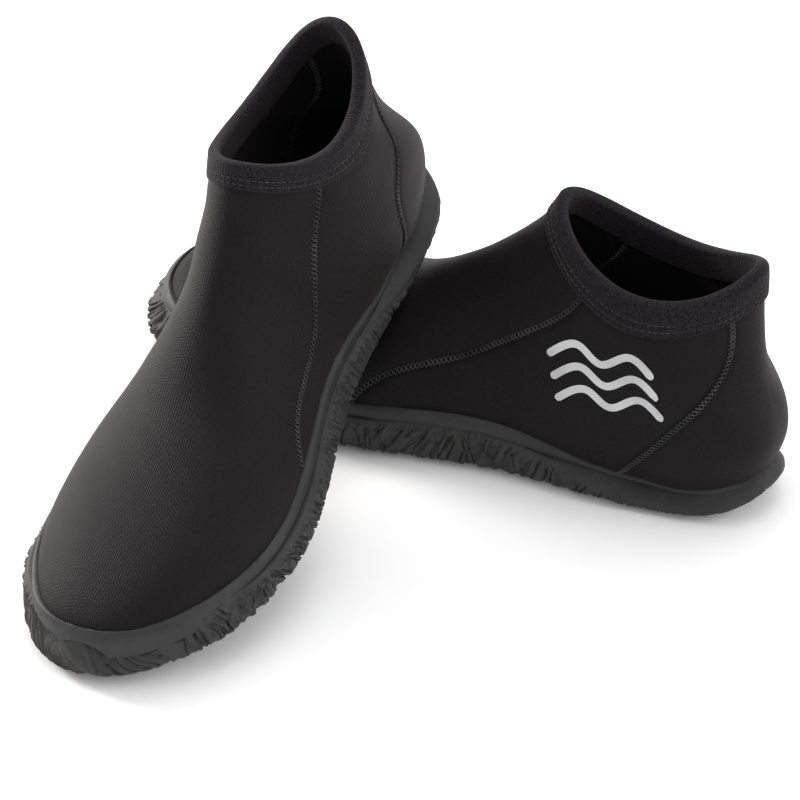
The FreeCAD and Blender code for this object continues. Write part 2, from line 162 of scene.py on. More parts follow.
def spline_matrix(knots, at):
    """Rows of weights that give a natural cubic spline through values at the knots."""
    knots, at = np.asarray(knots, float), np.asarray(at, float)
    count, gap = len(knots), np.diff(knots)
    left, right = np.eye(count), np.zeros((count, count))
    for i in range(1, count - 1):
        left[i, i - 1 : i + 2] = gap[i - 1], 2 * (gap[i - 1] + gap[i]), gap[i]
        right[i, i - 1 : i + 2] = 6 / gap[i - 1], -6 / gap[i - 1] - 6 / gap[i], 6 / gap[i]
    bend = np.linalg.solve(left, right)
    i = np.clip(np.searchsorted(knots, at) - 1, 0, count - 2)
    a, b = (knots[i + 1] - at) / gap[i], (at - knots[i]) / gap[i]
    weights = np.zeros((len(at), count))
    rows = np.arange(len(at))
    weights[rows, i] += a
    weights[rows, i + 1] += b
    weights += ((a**3 - a) * gap[i] ** 2 / 6)[:, None] * bend[i]
    weights += ((b**3 - b) * gap[i] ** 2 / 6)[:, None] * bend[i + 1]
    return weights


def lengths_along(points):
    """The length along a line of points, at each of them."""
    return np.r_[0, np.cumsum(np.linalg.norm(np.diff(points, axis=0), axis=1))]


def curve_through(points, count):
    """A smooth open curve through points, with the given number of points."""
    points = np.asarray(points, float)
    knots = lengths_along(points)
    return spline_matrix(knots, np.linspace(0, knots[-1], count)) @ points


def loop_through(points, count):
    """A smooth closed curve of evenly spaced points, without the first repeated, and the length at each."""
    points = np.asarray(points, float)
    size = len(points)
    long = np.vstack([points, points, points])
    knots = lengths_along(long)
    fine = spline_matrix(knots, np.linspace(knots[size], knots[2 * size], 4001)) @ long
    way = lengths_along(fine)
    even = np.linspace(0, way[-1], count, endpoint=False)
    return np.c_[np.interp(even, way, fine[:, 0]), np.interp(even, way, fine[:, 1])], even


LATTICE = np.random.default_rng(7).random((256, 256))


def noise(x, y, seed=0):
    """Smooth random values from -1 to 1, one bump per unit."""
    x, y = np.broadcast_arrays(np.asarray(x, float), np.asarray(y, float))
    x, y = x + 17.31 * seed, y + 41.7 * seed
    i, j = np.floor(x).astype(int), np.floor(y).astype(int)
    a, b = x - i, y - j
    a, b = a * a * (3 - 2 * a), b * b * (3 - 2 * b)
    low = LATTICE[i % 256, j % 256] * (1 - a) + LATTICE[(i + 1) % 256, j % 256] * a
    high = LATTICE[i % 256, (j + 1) % 256] * (1 - a) + LATTICE[(i + 1) % 256, (j + 1) % 256] * a
    return 2 * (low * (1 - b) + high * b) - 1


def step(value, start, end):
    """0 before start, 1 after end, and smooth between."""
    t = np.clip((value - start) / (end - start), 0, 1)
    return t * t * (3 - 2 * t)


def bell(away, half_width):
    """1 at a distance of 0, falling smoothly to almost 0 at twice the half width."""
    return np.exp(-((away / half_width) ** 2))


def rise(x):
    """Height of the sole's underside above the floor."""
    x = np.asarray(x, float)
    toe = TOE_RISE * (np.maximum(0.0, x - TOE_RISE_FROM) / TOE_RISE_OVER) ** 2
    heel = HEEL_RISE * (np.maximum(0.0, HEEL_RISE_OVER - x) / HEEL_RISE_OVER) ** 2
    return toe + heel


RIM_FINE = curve_through(RIM, 600)


def rim(x):
    """Height of the rubber's rim."""
    return np.interp(x, RIM_FINE[:, 0], RIM_FINE[:, 1])


def collar(x):
    """Height of the opening's edge: highest at the front and the back."""
    share = (np.asarray(x, float) - COLLAR_BACK) / COLLAR_LENGTH
    return COLLAR_HEIGHT + COLLAR_CLIMB * share - 4 * COLLAR_DIP * share * (1 - share)


def signed_distance(x, z, line):
    """Distance from points of the side view to a line, positive ahead of it (on its +X side)."""
    a, b = line[:-1], line[1:]
    d = b - a
    best, sign = np.full(x.shape, 1e9), np.ones(x.shape)
    for (ax, az), (dx, dz) in zip(a, d):
        t = np.clip(((x - ax) * dx + (z - az) * dz) / (dx * dx + dz * dz), 0, 1)
        away = np.hypot(x - ax - t * dx, z - az - t * dz)
        nearer = away < best
        best = np.where(nearer, away, best)
        sign = np.where(nearer, np.where((x - ax) * dz - (z - az) * dx < 0, 1, -1), sign)
    return best * sign


# ------------------------------------------------------------------ the foot form

ROWS, COLUMNS = ((350, 300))


def ring_arrays(angles):
    """Points round every ring, and how they move for each millimetre that the ring grows."""
    base, growth = np.zeros((len(RINGS), len(angles), 3)), np.zeros((len(RINGS), len(angles), 3))
    c, s = -np.cos(angles), np.sin(angles)
    for k, ((x0, z0), (x1, z1), outer, inner, waist, low, high) in enumerate(RINGS):
        height = np.hypot(x1 - x0, z1 - z0)
        ux, uz = (x1 - x0) / height, (z1 - z0) / height
        power = np.where(c < 0, 2 / low, 2 / high)
        share = np.where(c < 0, waist, 1 - waist)
        lift, spread = np.sign(c) * np.abs(c) ** power, np.sign(s) * np.abs(s) ** power
        up = waist * height + lift * share * height
        across = (outer + inner) / 2 + spread * (outer - inner) / 2
        base[k] = np.c_[x0 + ux * up, across, z0 + uz * up]
        forward = TIP_GROWTH if k == 0 else 0.0
        growth[k] = np.c_[forward + ux * lift, spread, uz * lift]
    return base, growth


ANGLES = np.linspace(0, 2 * pi, COLUMNS + 1)
RING_BASE, RING_GROWTH = ring_arrays(ANGLES)
gaps = np.linalg.norm(np.diff(RING_BASE, axis=0), axis=2).mean(1)
KNOTS = np.r_[0, np.cumsum(gaps)]
U = np.linspace(0, KNOTS[-1], ROWS)
WEIGHTS = spline_matrix(KNOTS, U)
BASE = np.einsum("uk,kvc->uvc", WEIGHTS, RING_BASE)
GROWTH = np.einsum("uk,kvc->uvc", WEIGHTS, RING_GROWTH)
ALONG = np.r_[np.zeros((1, COLUMNS + 1)), np.cumsum(np.linalg.norm(np.diff(BASE, axis=0), axis=2), axis=0)]
round_way = np.c_[np.zeros(ROWS), np.cumsum(np.linalg.norm(np.diff(BASE, axis=1), axis=2), axis=1)]
ROUND = round_way - round_way[:, COLUMNS // 2][:, None]

# One row per vertex of the grid: base point, growth, and two lengths along the cloth.
GRID = np.concatenate([BASE, GROWTH, ALONG[..., None], ROUND[..., None]], axis=2).reshape(-1, 8)


def grid_faces(rows, columns):
    """Triangles of a grid of rows by columns of vertices, facing out of a form whose rows go round it."""
    i, j = np.meshgrid(np.arange(rows - 1), np.arange(columns - 1), indexing="ij")
    a = (i * columns + j).ravel()
    b, c, d = a + 1, a + columns + 1, a + columns
    return np.vstack([np.c_[a, d, c], np.c_[a, c, b]])


GRID_FACES = grid_faces(ROWS, COLUMNS + 1)


def clip(rows, faces, value):
    """Keeps the part of a triangle mesh where a value at its vertices is above 0, cut exactly at 0."""
    inside = value > 0
    held = inside[faces].sum(1)
    kept = [faces[held == 3]]
    new_rows, pairs, corners = [rows], [], []
    for number in (1, 2):
        some = faces[held == number]
        odd = np.argmax(inside[some] == (number == 1), axis=1)
        order = (odd[:, None] + np.arange(3)) % 3
        some = np.take_along_axis(some, order, axis=1)
        corners.append(some)
        pairs += [some[:, [0, 1]], some[:, [0, 2]]]
    edges = np.sort(np.vstack(pairs), axis=1)
    unique, place_of = np.unique(edges, axis=0, return_inverse=True)
    place_of = place_of.ravel() + len(rows)
    if len(unique):
        a, b = unique.T
        t = (value[a] / (value[a] - value[b]))[:, None]
        new_rows.append(rows[a] * (1 - t) + rows[b] * t)
    ends = np.cumsum([len(p) for p in pairs])
    e01, e02, f01, f02 = np.split(place_of, ends[:-1])
    one, two = corners
    kept.append(np.c_[one[:, 0], e01, e02])
    kept.append(np.c_[f01, two[:, 1], two[:, 2]])
    kept.append(np.c_[f01, two[:, 2], f02])
    faces, rows = np.vstack(kept), np.vstack(new_rows)
    used, faces = np.unique(faces, return_inverse=True)
    return rows[used], faces.reshape(-1, 3)


def side_line(kind, where):
    """A seam's smooth line in the side view."""
    return curve_through(SEAMS[where, kind], 60)


def seam_value(rows, kind):
    """Signed distance to a seam on whichever side of the boot each vertex is."""
    x, y, z = rows[:, 0], rows[:, 1], rows[:, 2]
    outer = signed_distance(x, z, side_line(kind, "outer"))
    inner = signed_distance(x, z, side_line(kind, "inner"))
    return np.where(y > 0, outer, inner)


def uneven(rows, size, seed):
    """Soft unevenness over the form, with bumps of about the given size."""
    x, y, z = rows[..., 0], rows[..., 1], rows[..., 2]
    return noise((x + 0.6 * y) / size, (z - 0.5 * y) / size, seed)


def cloth_depth(rows):
    """How far the panels' outer face stands out of the form: drawn in at the seams, and softly uneven."""
    x, z = rows[:, 0], rows[:, 2]
    near = np.minimum(np.abs(seam_value(rows, "vamp")), np.abs(seam_value(rows, "heel")))
    out = np.zeros(len(rows))
    for depth, half_width in SEAM_DIPS:
        out -= depth * bell(near, half_width)
    out -= BINDING_DIP * bell(collar(x) - z - BINDING_HEIGHT, BINDING_DIP_HALF)
    for height, size, seed in CLOTH_BUMPS:
        out += height * uneven(rows, size, seed)
    return out


# ------------------------------------------------------------------ meshes


def place(points, boot):
    """Takes points of a boot's own frame to the row frame, in metres. The right boot is mirrored first."""
    heel, (turn, pitch, roll) = STANCE[boot]
    points = np.asarray(points, float) * (1, 1 if boot == "left" else -1, 1)
    spin = (
        Matrix.Rotation(radians(turn), 3, "Z")
        @ Matrix.Rotation(radians(pitch), 3, "Y")
        @ Matrix.Rotation(radians(roll), 3, "X")
    )
    return (points @ np.array(spin).T + heel) * METRES


def make_mesh(name, boot, points, faces, finish, uv=None, crease=40):
    """A mesh piece of one boot, from points in its own frame."""
    faces = faces[:, ::-1] if boot == "right" else faces
    mesh = bpy.data.meshes.new(name)
    mesh.vertices.add(len(points))
    mesh.vertices.foreach_set("co", place(points, boot).astype(np.float32).ravel())
    width = faces.shape[1]
    mesh.loops.add(faces.size)
    mesh.loops.foreach_set("vertex_index", faces.astype(np.int32).ravel())
    mesh.polygons.add(len(faces))
    mesh.polygons.foreach_set("loop_start", np.arange(0, faces.size, width, dtype=np.int32))
    mesh.update(calc_edges=True)
    if uv is not None:
        layer = mesh.uv_layers.new(name="cloth")
        layer.data.foreach_set("uv", (uv[faces.ravel()] / CLOTH_UNIT).astype(np.float32).ravel())
    mesh.validate()
    mesh.polygons.foreach_set("use_smooth", np.ones(len(mesh.polygons), bool))
    mesh.set_sharp_from_angle(angle=radians(crease))
    mesh.materials.append(finish)
    made = bpy.data.objects.new(name, mesh)
    bpy.context.scene.collection.objects.link(made)
    return made


def thick(rows, faces, outer, inner):
    """Points and faces of a closed sheet between two faces that share a triangle mesh."""
    count = len(rows)
    edges = np.vstack([faces[:, [0, 1]], faces[:, [1, 2]], faces[:, [2, 0]]])
    ordered = np.sort(edges, axis=1)
    _, first, times = np.unique(ordered, axis=0, return_index=True, return_counts=True)
    rim_edges = edges[first[times == 1]]
    a, b = rim_edges.T
    walls = np.vstack([np.c_[b, a, a + count], np.c_[b, a + count, b + count]])
    points = np.vstack([rows[:, :3] + rows[:, 3:6] * depth[:, None] for depth in (outer, inner)])
    return points, np.vstack([faces, faces[:, ::-1] + count, walls])


def tubes(starts, ends, outward, radius, arch, sides=6, parts=5):
    """Short bent threads, one from each start to its end, bowed outwards and thinner at both ends."""
    starts, ends, outward = (np.asarray(v, float) for v in (starts, ends, outward))
    count = len(starts)
    along = ends - starts
    length = np.linalg.norm(along, axis=1, keepdims=True)
    along = along / length
    outward = outward - (outward * along).sum(1, keepdims=True) * along
    outward /= np.linalg.norm(outward, axis=1, keepdims=True)
    across = np.cross(along, outward)
    points = []
    for k in range(parts + 1):
        t = k / parts
        bow = arch * sin(pi * t) ** 0.6 - radius * 0.6
        thin = radius * (0.75 if k in (0, parts) else 1.0)
        centre = starts + along * length * t + outward * bow
        for m in range(sides):
            turn = 2 * pi * m / sides
            points.append(centre + across * thin * cos(turn) + outward * thin * sin(turn))
    points = np.stack(points, axis=1).reshape(-1, 3)
    per = (parts + 1) * sides
    quads = []
    for k in range(parts):
        for m in range(sides):
            n = (m + 1) % sides
            quads.append((k * sides + m, k * sides + n, (k + 1) * sides + n, (k + 1) * sides + m))
    quads = np.array(quads)
    faces = (quads[None] + per * np.arange(count)[:, None, None]).reshape(-1, 4)
    return points, faces


# ------------------------------------------------------------------ finishes


def new_finish(name):
    """A new material with its nodes, its links and its main shader."""
    finish = bpy.data.materials.new(name)
    finish.use_nodes = True
    nodes = finish.node_tree.nodes
    return finish, nodes, finish.node_tree.links, nodes["Principled BSDF"]


def knit(name, colour, light, wale, course, depth, sheen, shine, rough=0.82):
    """Knit cloth: wales and courses along the cloth's own two lengths, flecked between two colours."""
    finish, nodes, links, shader = new_finish(name)
    where = nodes.new("ShaderNodeUVMap")
    where.uv_map = "cloth"
    split = nodes.new("ShaderNodeSeparateXYZ")
    links.new(where.outputs["UV"], split.inputs[0])
    waves = []
    for axis, period in (("Y", wale), ("X", course)):
        scaled = nodes.new("ShaderNodeMath")
        scaled.operation = "MULTIPLY"
        scaled.inputs[1].default_value = 2 * pi * CLOTH_UNIT / period
        links.new(split.outputs[axis], scaled.inputs[0])
        wave = nodes.new("ShaderNodeMath")
        wave.operation = "SINE"
        links.new(scaled.outputs[0], wave.inputs[0])
        waves.append(wave)
    weave = nodes.new("ShaderNodeMath")
    weave.operation = "MULTIPLY_ADD"
    weave.inputs[1].default_value = 0.45  # height of a course, where a wale is 1
    links.new(waves[1].outputs[0], weave.inputs[0])
    links.new(waves[0].outputs[0], weave.inputs[2])
    fuzz = nodes.new("ShaderNodeTexNoise")
    fuzz.inputs["Scale"].default_value = 130.0
    fuzz.inputs["Detail"].default_value = 3.0
    links.new(where.outputs["UV"], fuzz.inputs["Vector"])
    height = nodes.new("ShaderNodeMath")
    height.operation = "MULTIPLY_ADD"
    height.inputs[1].default_value = 4.5  # height of the fuzz on the same scale
    links.new(fuzz.outputs["Fac"], height.inputs[0])
    links.new(weave.outputs[0], height.inputs[2])
    bump = nodes.new("ShaderNodeBump")
    bump.inputs["Strength"].default_value = 1.0
    bump.inputs["Distance"].default_value = depth
    links.new(height.outputs[0], bump.inputs["Height"])
    links.new(bump.outputs["Normal"], shader.inputs["Normal"])
    fleck = nodes.new("ShaderNodeTexNoise")
    fleck.inputs["Scale"].default_value = 75.0
    fleck.inputs["Detail"].default_value = 4.0
    fleck.inputs["Roughness"].default_value = 0.7
    links.new(where.outputs["UV"], fleck.inputs["Vector"])
    ramp = nodes.new("ShaderNodeValToRGB")
    ramp.color_ramp.elements[0].position, ramp.color_ramp.elements[1].position = 0.38, 0.68
    ramp.color_ramp.elements[0].color, ramp.color_ramp.elements[1].color = (*colour, 1), (*light, 1)
    links.new(fleck.outputs["Fac"], ramp.inputs["Fac"])
    links.new(ramp.outputs["Color"], shader.inputs["Base Color"])
    shader.inputs["Roughness"].default_value = rough
    shader.inputs["Specular IOR Level"].default_value = shine
    shader.inputs["Sheen Weight"].default_value = sheen
    shader.inputs["Sheen Roughness"].default_value = 0.45
    shader.inputs["Sheen Tint"].default_value = (1.0, 0.86, 0.84, 1)
    return finish


def rubber(name, colour, light, grain, depth, rough):
    """Matte rubber with a fine grain and a little variation of colour. Thread, ink and paint use it too."""
    finish, nodes, links, shader = new_finish(name)
    where = nodes.new("ShaderNodeTexCoord")
    fine = nodes.new("ShaderNodeTexNoise")
    fine.inputs["Scale"].default_value = grain
    fine.inputs["Detail"].default_value = 5.0
    fine.inputs["Roughness"].default_value = 0.65
    links.new(where.outputs["Object"], fine.inputs["Vector"])
    broad = nodes.new("ShaderNodeTexNoise")
    broad.inputs["Scale"].default_value = 60.0
    broad.inputs["Detail"].default_value = 3.0
    links.new(where.outputs["Object"], broad.inputs["Vector"])
    bump = nodes.new("ShaderNodeBump")
    bump.inputs["Distance"].default_value = depth
    links.new(fine.outputs["Fac"], bump.inputs["Height"])
    links.new(bump.outputs["Normal"], shader.inputs["Normal"])
    ramp = nodes.new("ShaderNodeValToRGB")
    ramp.color_ramp.elements[0].position, ramp.color_ramp.elements[1].position = 0.3, 0.72
    ramp.color_ramp.elements[0].color, ramp.color_ramp.elements[1].color = (*colour, 1), (*light, 1)
    links.new(broad.outputs["Fac"], ramp.inputs["Fac"])
    links.new(ramp.outputs["Color"], shader.inputs["Base Color"])
    shader.inputs["Roughness"].default_value = rough
    shader.inputs["Specular IOR Level"].default_value = 0.35
    return finish


NEOPRENE_CLOTH = knit(
    "neoprene_cloth",
    colour=(0.0032, 0.0024, 0.0027),
    light=(0.0064, 0.0049, 0.0054),
    wale=1.1,
    course=1.45,
    depth=0.00004,
    sheen=0.045,
    shine=0.13,
    rough=0.6,
)
BINDING_KNIT = knit(
    "binding_knit",
    colour=(0.0042, 0.0034, 0.0044),
    light=(0.0230, 0.0190, 0.0235),
    wale=1.3,
    course=1.0,
    depth=0.00008,
    sheen=0.06,
    shine=0.1,
)
INSOLE_CLOTH = knit(
    "insole_cloth",
    colour=(0.004, 0.004, 0.0043),
    light=(0.007, 0.007, 0.0073),
    wale=1.4,
    course=1.4,
    depth=0.00006,
    sheen=0.02,
    shine=0.1,
)
SOLE_RUBBER = rubber(
    "sole_rubber",
    colour=(0.013, 0.0125, 0.0122),
    light=(0.028, 0.0268, 0.026),
    grain=1400.0,
    depth=0.00030,
    rough=0.58,
)
RAND_RUBBER = rubber(
    "rand_rubber",
    colour=(0.0125, 0.0120, 0.0121),
    light=(0.021, 0.0202, 0.0200),
    grain=1100.0,
    depth=0.00018,
    rough=0.55,
)
THREAD = rubber(
    "thread",
    colour=(0.008, 0.0075, 0.0075),
    light=(0.055, 0.052, 0.050),
    grain=3000.0,
    depth=0.00005,
    rough=0.55,
)
PRINT_INK = rubber(
    "print_ink",
    colour=(0.42, 0.42, 0.43),
    light=(0.58, 0.58, 0.59),
    grain=1500.0,
    depth=0.00008,
    rough=0.6,
)
FLOOR_PAINT = rubber(
    "floor_paint",
    colour=(0.90, 0.90, 0.90),
    light=(0.91, 0.91, 0.91),
    grain=50.0,
    depth=0.0,
    rough=0.9,
)


# ------------------------------------------------------------------ the pieces of a boot


def declare(piece, boot, nodes):
    """Hangs a piece on the body that it rides, and hides the CAD parts that it stands for."""
    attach(piece, f"{boot}_boot")
    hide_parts(*(f"{boot}_{node}" for node in nodes))


def upper_patch():
    """The part of the form that the panels cover: under the collar's edge, above the sole's inside."""
    rows, faces = clip(GRID, GRID_FACES, collar(GRID[:, 0]) + CLOTH_OVER_EDGE - GRID[:, 2])
    return clip(rows, faces, rows[:, 2] - rise(rows[:, 0]) - CLOTH_FLOOR)


UPPER = upper_patch()
# The cuts that make each panel from the upper: a seam or the middle (y), and the side of it that is kept.
PANELS = {
    "vamp_panel": (("vamp", 1),),
    "heel_panel": (("heel", -1),),
    "outer_quarter": (("vamp", -1), ("heel", 1), ("y", 1)),
    "inner_quarter": (("vamp", -1), ("heel", 1), ("y", -1)),
}


def panel_patch(cuts):
    """The part of the upper that a panel covers."""
    rows, faces = UPPER
    for kind, sign in cuts:
        value = rows[:, 1] if kind == "y" else seam_value(rows, kind)
        rows, faces = clip(rows, faces, sign * value)
    return rows, faces


def seam_path(kind, where):
    """Rows of the form along a seam from the rubber up to the binding, and the length at each."""
    rows, faces = UPPER
    rows, faces = clip(rows, faces, seam_value(rows, kind))
    on = np.abs(seam_value(rows, kind)) < 0.02
    on &= (rows[:, 1] > 0) == (where == "outer")
    on &= collar(rows[:, 0]) - rows[:, 2] > BINDING_HEIGHT - SEAM_TUCK
    on &= rows[:, 2] > rim(rows[:, 0]) - SEAM_TUCK
    rows = rows[on][np.argsort(rows[on][:, 2])]
    way = lengths_along(rows[:, :3])
    fresh = np.r_[True, np.diff(way) > 1e-6]
    return rows[fresh], way[fresh]


TANGENT_SPAN = 0.8


def along_path(rows, way, at, depth):
    """Points at lengths along a path, the way along it and the way out, at a depth out of the form."""
    row = np.stack([np.interp(at, way, rows[:, c]) for c in range(6)], axis=1)
    ahead = np.stack([np.interp(at + TANGENT_SPAN, way, rows[:, c]) for c in range(3)], axis=1)
    behind = np.stack([np.interp(at - TANGENT_SPAN, way, rows[:, c]) for c in range(3)], axis=1)
    tangent = ahead - behind
    tangent /= np.linalg.norm(tangent, axis=1, keepdims=True)
    out = row[:, 3:] - (row[:, 3:] * tangent).sum(1, keepdims=True) * tangent
    out /= np.linalg.norm(out, axis=1, keepdims=True)
    return row[:, :3] + row[:, 3:] * depth, tangent, out


def seam_stitches(kind, where):
    """Crossed stitches over a seam, outside and inside: a thick thread one way and a thin one back."""
    rows, way = seam_path(kind, where)
    at = np.arange(0.6, way[-1] - 0.6, SEAM_PITCH)
    shake = np.random.default_rng(len(at))
    at = at + shake.uniform(-0.12, 0.12, len(at))
    points, faces, total = [], [], 0
    for depth, facing in ((-0.32, 1.0), (-NEOPRENE + 0.05, -1.0)):
        centre, tangent, out = along_path(rows, way, at, depth)
        side = np.cross(tangent, out)
        swing = side * SEAM_HALF + tangent * SEAM_SLANT / 2
        back = side * SEAM_HALF * 0.9 - tangent * SEAM_SLANT * 0.55
        for half, thread in ((swing, 1.0), (back, 0.6)):
            radius, arch = SEAM_THREAD * thread, 0.2 + 0.22 * thread
            made, quads = tubes(centre - half, centre + half, out * facing, radius, arch)
            points.append(made)
            faces.append(quads + total)
            total += len(made)
    return np.vstack(points), np.vstack(faces)


def collar_rings(drops):
    """For each drop below the opening's edge, a row of the form's points right round the ankle."""
    half = ROWS // 2
    rings = np.zeros((len(drops), COLUMNS, 8))
    full = GRID.reshape(ROWS, COLUMNS + 1, 8)
    for j in range(COLUMNS):
        column = full[half:, j]
        under = collar(column[:, 0]) - column[:, 2]
        order = np.argsort(under)
        for c in range(8):
            rings[:, j, c] = np.interp(drops, under[order], column[order, c])
    return rings


def binding(boot):
    """A knit band folded over the edge of the opening: up the outside, over, and down the inside."""
    outside, inside = BINDING_THICK, -NEOPRENE - BINDING_THICK
    # The profile's points are drops below the collar's edge, each with its depth out of the form.
    profile = [(BINDING_HEIGHT + 0.5, -0.6), (BINDING_HEIGHT + 0.25, 0.2)]
    profile.append((BINDING_HEIGHT - 0.15, outside - 0.1))
    for drop in np.linspace(BINDING_HEIGHT - 0.7, BINDING_CROWN, 34):
        groove = sum(ROW_GROOVE * bell(drop - row, ROW_GROOVE_HALF) for row in STITCH_ROWS)
        puff = BINDING_PUFF * sin(pi * np.clip(drop / BINDING_HEIGHT, 0, 1))
        profile.append((drop, outside + puff - groove))
    middle, half = (outside + inside) / 2, (outside - inside) / 2
    for turn in np.linspace(0, pi, 15)[1:-1]:
        drop = BINDING_CROWN - (BINDING_CROWN + BINDING_OVER) * sin(turn)
        profile.append((drop, middle + half * cos(turn)))
    for drop in np.linspace(BINDING_CROWN, BINDING_HEIGHT, 18):
        profile.append((drop, inside))
    profile += [(BINDING_HEIGHT + 0.3, inside + 0.3), (BINDING_HEIGHT + 0.4, inside + 1.0)]
    drops, grows = np.array(profile).T
    rings = collar_rings(drops)
    grown = grows[:, None] + 0.12 * uneven(rings, 7, 3)
    points = rings[..., :3] + rings[..., 3:6] * grown[..., None]
    points = np.concatenate([points, points[:, :1]], axis=1)
    lengths = np.r_[0, np.cumsum(np.hypot(np.diff(drops), np.diff(grows)))]
    edge = lengths_along(points[20])
    uv = np.stack(np.broadcast_arrays(lengths[:, None], edge[None, :]), axis=-1).reshape(-1, 2)
    faces = grid_faces(*points.shape[:2])
    piece = make_mesh(f"{boot}_binding", boot, points.reshape(-1, 3), faces, BINDING_KNIT, uv, 60)
    declare(piece, boot, ["collar_binding"])


def collar_row(boot, number, drop):
    """A row of running stitches round the binding."""
    ring = collar_rings(np.array([drop]))[0]
    ring = np.vstack([ring, ring[:1]])
    way = lengths_along(ring[:, :3])
    count = int(way[-1] / ROW_PITCH)
    at = np.arange(count) * way[-1] / count + 0.4
    centre, tangent, out = along_path(ring, way, at, BINDING_THICK - 0.02)
    points, faces = tubes(centre - tangent * ROW_HALF, centre + tangent * ROW_HALF, out, ROW_THREAD, 0.2)
    piece = make_mesh(f"{boot}_collar_row_{number}", boot, points, faces, THREAD)
    declare(piece, boot, [f"collar_stitch_{number}"])


def rand(boot):
    """The smooth rubber band between the upper and the sole's ridged wall."""
    x, z = GRID[:, 0], GRID[:, 2]
    rows, faces = clip(GRID, GRID_FACES, rim(x) - z)
    rows, faces = clip(rows, faces, rows[:, 2] - rim(rows[:, 0]) + RAND_SHOW + RAND_TUCK)
    rows, faces = clip(rows, faces, rows[:, 2] - rise(rows[:, 0]) - RAND_FLOOR)
    below = rim(rows[:, 0]) - rows[:, 2] + 0.25 * uneven(rows, 9, 5)
    lip = np.sqrt(np.clip(1 - (1 - np.clip(below / RAND_ROUND, 0, 1)) ** 2, 0, 1))
    out = RAND_EDGE + (RAND_THICK - RAND_EDGE) * lip
    bulge = RAND_BULGE * bell(below - RAND_BULGE_DOWN, RAND_BULGE_HALF)
    out += bulge - RAND_THIN * step(below, *RAND_THIN_ZONE)
    out += 0.12 * uneven(rows, 4, 6)
    points, faces = thick(rows, faces, out, np.full(len(rows), -0.6))
    piece = make_mesh(f"{boot}_rubber_rand", boot, points, faces, RAND_RUBBER, None, 50)
    declare(piece, boot, ["rand"])


# Two sets of ridges cross on the wall: slant, gap, length, noise seed, share of the height, valley's width.
RIDGES = ((0.35, 1.9, 20, 14, 0.62, 0.45), (0.30, 2.8, 15, 15, 0.38, 0.35))
RIDGE_HEIGHT, RIDGE_SINK, PIT_DEPTH = 2.3, 0.7, 0.12
RIDGE_START, RIDGE_EASE = (26, 70), (258, 285)  # where they grow behind the heel, and ease off at the toe
TOE_LEAN, TOE_LEAN_ZONE = 0.8, (262, 284)


def bark(way, height, x):
    """Height of the moulded ridges on the wall: slanting, forked, and almost gone at the heel."""
    bend = 1.3 * noise(way / 12, height / 7, 11) + 0.5 * noise(way / 3.5, height / 3, 12)
    lean = 0.35 * noise(way / 17, 0 * height, 13) + TOE_LEAN * step(x, *TOE_LEAN_ZONE)
    ridge = 0
    for sign, (slant, gap, length, seed, share, valley) in zip((1, -1), RIDGES):
        across = way + sign * bend + sign * (slant + sign * lean) * height
        ridge = ridge + share * step(np.abs(noise(across / gap, height / length, seed)), 0.0, valley)
    pits = 0.5 + 0.5 * noise(way / 1.5, height / 1.5, 16)
    full = step(x, *RIDGE_START) * (1 - 0.2 * step(x, *RIDGE_EASE))
    return full * (RIDGE_HEIGHT * ridge - RIDGE_SINK) + (PIT_DEPTH + 0.5 * (1 - full)) * pits


SPINE, SPINE_Y = (34, 252), 1.5  # where the sole's middle line starts and ends, and its place across
# Where the toe's own wall starts, over what length it grows, and how much further back the rim is read.
TOE_FROM, TOE_OVER, TOE_BACK = 215, 75, 6
BAND_CUT, BAND_CUT_ZONE = 3.8, (222, 262)  # what the ridges take from the smooth band at the toe
SOLE_LAP = 0.6  # how far the wall goes up past the foot of the smooth band
LIP_BULGE, LIP_DOWN, LIP_HALF = 0.7, 2.2, 2.0  # the bulge under the wall's top edge
SHOULDER_LESS, SHOULDER_ZONE = 1.2, (62, 100)  # at the heel the rubber closes up almost to its rim
LEDGE_BAND, LEDGE_LAP = 2.0, 1.5  # how near in height the cloth is sought, and how far in past it to go


def inward_from(loop, reach):
    """The way in from a closed outline at each of its points."""
    ahead = np.roll(loop, -reach, axis=0) - np.roll(loop, reach, axis=0)
    ahead /= np.linalg.norm(ahead, axis=1, keepdims=True)
    return np.c_[ahead[:, 1], -ahead[:, 0]]


def ledge_reach(edge):
    """How far in the sole's top edge has to reach, at each point, to end just inside the upper's cloth."""
    reach = np.zeros(len(edge))
    for k, (x, y, z) in enumerate(edge):
        level = GRID[np.abs(GRID[:, 2] - z) < LEDGE_BAND]
        reach[k] = np.hypot(level[:, 0] - x, level[:, 1] - y).min() + LEDGE_LAP
    return reach


